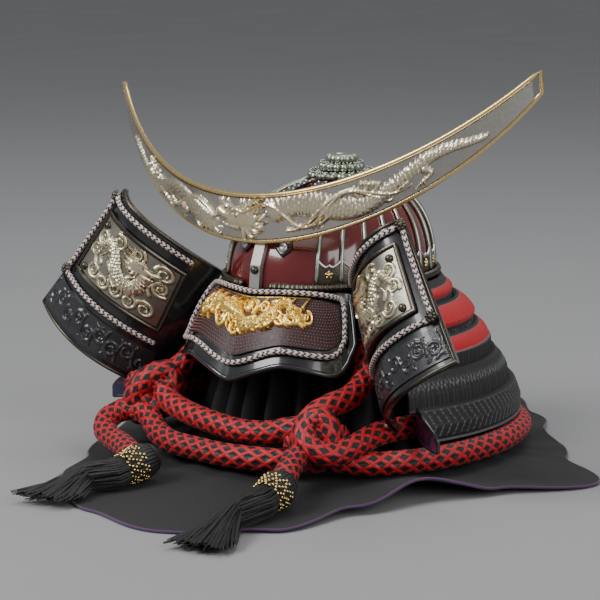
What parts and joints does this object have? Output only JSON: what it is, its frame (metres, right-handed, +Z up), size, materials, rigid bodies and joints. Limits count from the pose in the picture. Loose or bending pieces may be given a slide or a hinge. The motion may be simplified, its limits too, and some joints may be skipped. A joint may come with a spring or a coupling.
{
  "type": "kabuto samurai helmet on its cloth-draped stand",
  "caption": "Half-size red-lacquered kabuto with crescent crest, gilt dragon visor, turned-back wings and laced neck guard, on a black cloth stand.",
  "frame": {"origin": "middle of the stand's flat base, on the surface that it stands on", "axes": "+Z up, -Y the way the helmet faces, +X the wearer's left"},
  "size_m": [0.3325, 0.4179, 0.2223],
  "materials": {
    "red_lacquer": "gloss",
    "black_lacquer": "gloss",
    "pewter": "satin",
    "dark_bronze": "satin",
    "silver": "satin",
    "gilt": "gloss",
    "pale_gold": "satin",
    "leather": "gloss",
    "shagreen": "satin",
    "piping": "matte",
    "red_lacing": "matte",
    "dark_lacing": "matte",
    "wood": "satin",
    "black_cloth": "matte",
    "red_cord": "matte",
    "black_tassel": "matte"
  },
  "bodies": {
    "root": {"bowl": "red_lacquer", "bowl_ribs": "pewter", "brim_bead": "dark_bronze", "crown_plate": "pewter", "crown_flower": "pewter", "crown_ring": "pewter", "strap_left": "black_lacquer", "strap_right": "black_lacquer", "visor": "black_lacquer", "visor_inlay": "shagreen", "visor_piping": "piping", "visor_dragon": "gilt", "crescent_plate": "silver", "crescent_rim": "gilt", "crescent_relief": "pale_gold", "crest_holder": "silver", "crest_rivet": "dark_bronze", "neck_lame_1": "red_lacing", "neck_lame_2": "red_lacing", "neck_lame_3": "dark_lacing", "neck_lame_4": "dark_lacing", "neck_lame_5": "dark_lacing", "wing_left_plate": "black_lacquer", "wing_right_plate": "black_lacquer", "wing_left_panel": "silver", "wing_right_panel": "silver", "wing_left_leather": "leather", "wing_right_leather": "leather", "wing_left_piping": "piping", "wing_right_piping": "piping", "wing_left_rosette_top": "dark_bronze", "wing_right_rosette_top": "dark_bronze", "wing_left_rosette_mid": "dark_bronze", "wing_right_rosette_mid": "dark_bronze", "wing_left_relief": "pale_gold", "wing_right_relief": "pale_gold", "wing_left_rivet_a": "dark_bronze", "wing_right_rivet_a": "dark_bronze", "wing_left_rivet_b": "dark_bronze", "wing_right_rivet_b": "dark_bronze", "wing_left_lower_turn": "leather", "wing_right_lower_turn": "leather", "wing_left_peg": "silver", "wing_right_peg": "silver", "stand_post": "wood", "cover_cloth": "black_cloth", "cord_front_upper": "red_cord", "cord_front_lower": "red_cord", "cord_back_upper": "red_cord", "cord_back_lower": "red_cord", "cord_rise_left": "red_cord", "cord_rise_right": "red_cord", "cord_tail_left": "red_cord", "cord_tail_right": "red_cord", "knot_left": "red_cord", "knot_right": "red_cord", "tassel_left": "black_tassel", "tassel_right": "black_tassel"}
  },
  "joints": []
}
